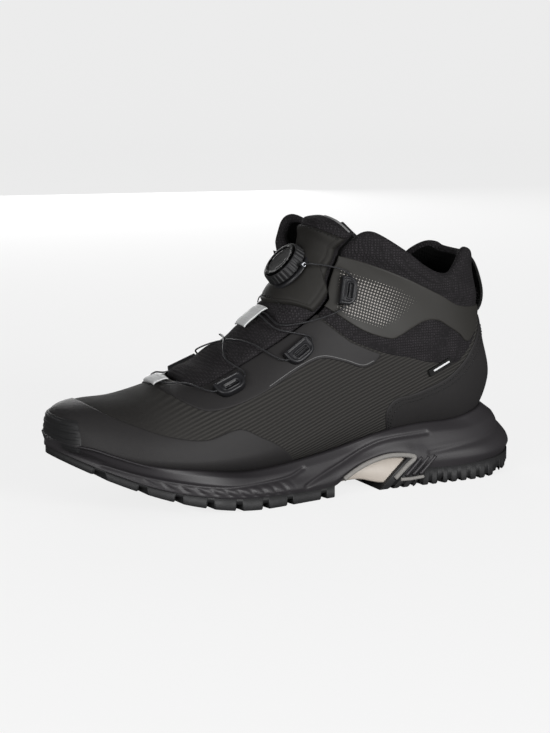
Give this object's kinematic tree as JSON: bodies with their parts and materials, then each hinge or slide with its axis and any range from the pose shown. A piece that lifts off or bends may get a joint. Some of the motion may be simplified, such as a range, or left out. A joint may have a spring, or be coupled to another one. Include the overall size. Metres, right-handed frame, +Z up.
{
  "type": "mid-cut hiking boot",
  "caption": "Left mid-cut hiking boot with a padded tongue that swings forward and carries a push-pull lacing dial, a wire lace and a lugged rubber sole.",
  "frame": {"origin": "on the ground under the middle of the heel, on the heel tread", "axes": "+X from toe to heel, +Y towards the inner (medial) side of the foot, +Z up"},
  "size_m": [0.31, 0.1062, 0.1661],
  "materials": {
    "rubber": "matte moulded rubber",
    "foam": "moulded foam with a fine grain",
    "shank": "satin moulded plate",
    "shell": "ribbed softshell fabric",
    "film": "thin bonded film, satin",
    "cuff_film": "thin bonded film with printed dots",
    "knit": "black spacer knit",
    "padding": "foam",
    "lining": "lining fabric",
    "board": "fibre board",
    "stiffener": "thermoplastic sheet",
    "panel": "rubberised panel",
    "ribbon": "light reflective ribbon",
    "webbing": "woven webbing",
    "plastic": "moulded nylon",
    "glossy": "glossy face",
    "steel": "steel"
  },
  "bodies": {
    "boot": {"outsole_forefoot": "rubber", "outsole_heel": "rubber", "toe_bumper": "rubber", "midsole": "foam", "shank_plate": "shank", "lasting_board": "board", "insole": "padding", "cuff_foam": "padding", "upper_shell": "shell", "lining": "lining", "cuff_lining": "lining", "gusset_lateral": "lining", "gusset_medial": "lining", "toe_puff": "stiffener", "heel_counter": "stiffener", "toe_rand": "film", "heel_overlay": "film", "eyestay_lateral": "film", "eyestay_medial": "film", "ankle_film": "cuff_film", "cuff_knit": "knit", "heel_pull_tab": "webbing", "side_label": "webbing", "guide_upper_lateral": "plastic", "guide_middle_lateral": "plastic", "guide_lower_lateral": "plastic", "guide_upper_medial": "plastic", "guide_middle_medial": "plastic", "guide_lower_medial": "plastic", "lace_cable": "steel", "lace_keeper_lower": "ribbon"},
    "tongue": {"tongue_pad": "knit", "tongue_panel": "panel", "lace_keeper_upper": "ribbon", "dial_flange": "plastic", "dial_housing": "plastic", "dial_screw": "steel", "dial_ferrule_lateral": "steel", "dial_ferrule_medial": "steel"},
    "dial_slider": {"dial_bush": "steel"},
    "dial_knob": {"dial_pawl_disc": "plastic", "dial_knob_core": "plastic", "dial_knob_grip": "rubber", "dial_knob_face": "glossy"},
    "spool": {"dial_spool": "plastic"}
  },
  "joints": [
    {"name": "tongue_open", "type": "hinge", "parent": "boot", "child": "tongue", "pos_m": [-0.183, 0, 0.071], "axis": [0, -1, 0], "range_deg": [0, 15], "deforming": ["lace_cable", "gusset_lateral", "gusset_medial"]},
    {"name": "dial_lift", "type": "slide", "parent": "tongue", "child": "dial_slider", "axis": [-0.7455, 0, 0.6665], "range_m": [0, 0.003]},
    {"name": "dial_turn", "type": "hinge", "parent": "dial_slider", "child": "dial_knob", "pos_m": [-0.1095, 0, 0.135], "axis": [-0.7455, 0, 0.6665], "continuous": true},
    {"name": "spool_turn", "type": "hinge", "parent": "tongue", "child": "spool", "pos_m": [-0.1095, 0, 0.135], "axis": [-0.7455, 0, 0.6665], "continuous": true}
  ],
  "couplings": [
    {"joint": "spool_turn", "follows": "dial_turn", "ratio": 1}
  ]
}
